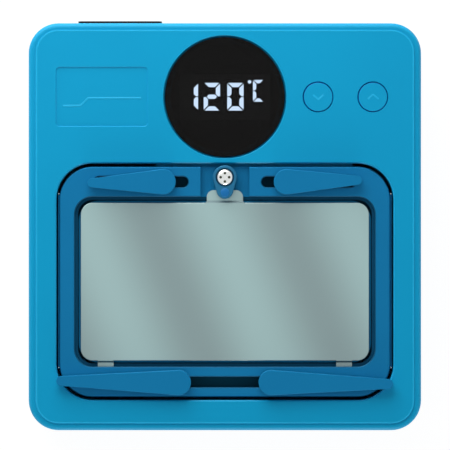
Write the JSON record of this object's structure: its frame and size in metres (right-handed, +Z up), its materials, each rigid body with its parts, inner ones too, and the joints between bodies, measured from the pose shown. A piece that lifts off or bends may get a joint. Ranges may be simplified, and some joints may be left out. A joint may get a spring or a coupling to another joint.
{
  "type": "circuit board preheater",
  "caption": "Bench hot plate that preheats a small circuit board, with sliding hold-down arms, a lift-out plate under a turning clip, a round digital display and two keys.",
  "frame": {"origin": "under the middle of the case, at the level of the feet's undersides", "axes": "+X to the user's right, +Y to the rear wall with the mains inlet, +Z up"},
  "size_m": [0.102, 0.1065, 0.0293],
  "materials": {
    "cover_plastic": "fine satin moulding",
    "base_plastic": "fine satin moulding",
    "key_plastic": "fine satin moulding",
    "plated_steel": "zinc plated",
    "foot_rubber": "matt",
    "smoked_window": "polished, smoked",
    "dark_plastic": "satin",
    "pale_plastic": "satin",
    "lit_segments": "lit",
    "circuit_board": "solder mask",
    "inlet_plastic": "satin",
    "contact_brass": "nickel flashed",
    "fuse_glass": "glazed",
    "capacitor_plastic": "glossy",
    "terminal_plastic": "satin",
    "bare_aluminium": "milled",
    "blue_aluminium": "blue anodised, bead blasted",
    "arm_aluminium": "blue anodised, bead blasted",
    "blued_steel": "blued sheet",
    "hard_anodised": "hard anodised, dark grey",
    "black_film": "printed matt black",
    "pale_ceramic": "unglazed",
    "plate_metal": "clear anodised, satin",
    "bright_nickel": "bright nickel"
  },
  "bodies": {
    "case": {"top_cover": "cover_plastic", "bottom_case": "base_plastic", "case_screws": "plated_steel", "rubber_feet": "foot_rubber", "display_lens": "smoked_window", "display_mask": "black_film", "display_block": "dark_plastic", "display_digits": "lit_segments", "display_board": "circuit_board", "display_board_screws": "plated_steel", "key_switches": "dark_plastic", "mains_inlet": "inlet_plastic", "inlet_pins": "contact_brass", "power_board": "circuit_board", "power_board_screws": "plated_steel", "mains_fuse": "fuse_glass", "transformer": "dark_plastic", "filter_capacitor": "capacitor_plastic", "triac": "dark_plastic", "heat_sink": "bare_aluminium", "terminal_block": "terminal_plastic", "heater_tray": "blue_aluminium", "heat_shield": "blued_steel", "tray_spacers": "pale_ceramic", "tray_screws": "plated_steel", "heater_block": "hard_anodised", "lug_washers": "pale_ceramic", "lug_screws": "plated_steel", "heating_strips": "pale_ceramic", "strip_clamp": "plated_steel", "clamp_screws": "plated_steel", "temperature_probe": "plated_steel", "thermal_fuse": "dark_plastic", "heat_plate": "plate_metal", "clip_screw": "bright_nickel"},
    "down_key": {"down_key": "key_plastic", "down_switch_button": "pale_plastic"},
    "up_key": {"up_key": "key_plastic", "up_switch_button": "pale_plastic"},
    "plate_clip": {"plate_clip": "arm_aluminium"},
    "rear_left_slider": {"rear_left_slider": "plated_steel"},
    "rear_left_arm": {"rear_left_arm": "arm_aluminium", "rear_left_ring": "plated_steel"},
    "rear_right_slider": {"rear_right_slider": "plated_steel"},
    "rear_right_arm": {"rear_right_arm": "arm_aluminium", "rear_right_ring": "plated_steel"},
    "front_left_slider": {"front_left_slider": "plated_steel"},
    "front_left_arm": {"front_left_arm": "arm_aluminium", "front_left_ring": "plated_steel"},
    "front_right_slider": {"front_right_slider": "plated_steel"},
    "front_right_arm": {"front_right_arm": "arm_aluminium", "front_right_ring": "plated_steel"}
  },
  "joints": [
    {"name": "rear_left_slide", "type": "slide", "parent": "case", "child": "rear_left_slider", "axis": [1, 0, 0], "range_m": [-0.0157, 0.0042]},
    {"name": "rear_left_swivel", "type": "hinge", "parent": "rear_left_slider", "child": "rear_left_arm", "pos_m": [-0.016, 0.01164, 0.027], "axis": [0, 0, 1], "range_deg": [-60, 110]},
    {"name": "rear_right_slide", "type": "slide", "parent": "case", "child": "rear_right_slider", "axis": [1, 0, 0], "range_m": [-0.0042, 0.0157]},
    {"name": "rear_right_swivel", "type": "hinge", "parent": "rear_right_slider", "child": "rear_right_arm", "pos_m": [0.016, 0.01164, 0.027], "axis": [0, 0, 1], "range_deg": [-110, 60]},
    {"name": "front_left_slide", "type": "slide", "parent": "case", "child": "front_left_slider", "axis": [1, 0, 0], "range_m": [-0.0207, 0.008]},
    {"name": "front_left_swivel", "type": "hinge", "parent": "front_left_slider", "child": "front_left_arm", "pos_m": [-0.012, -0.04036, 0.027], "axis": [0, 0, 1], "range_deg": [-100, 60]},
    {"name": "front_right_slide", "type": "slide", "parent": "case", "child": "front_right_slider", "axis": [1, 0, 0], "range_m": [-0.008, 0.0207]},
    {"name": "front_right_swivel", "type": "hinge", "parent": "front_right_slider", "child": "front_right_arm", "pos_m": [0.012, -0.04036, 0.027], "axis": [0, 0, 1], "range_deg": [-60, 100]},
    {"name": "down_key_press", "type": "slide", "parent": "case", "child": "down_key", "axis": [0, 0, -1], "range_m": [0, 0.00035], "stiffness_N_per_m": 900, "springref_m": -0.0003},
    {"name": "up_key_press", "type": "slide", "parent": "case", "child": "up_key", "axis": [0, 0, -1], "range_m": [0, 0.00035], "stiffness_N_per_m": 900, "springref_m": -0.0003},
    {"name": "clip_swivel", "type": "hinge", "parent": "case", "child": "plate_clip", "pos_m": [0, 0.01283, 0.027], "axis": [0, 0, 1], "range_deg": [-90, 90]}
  ]
}
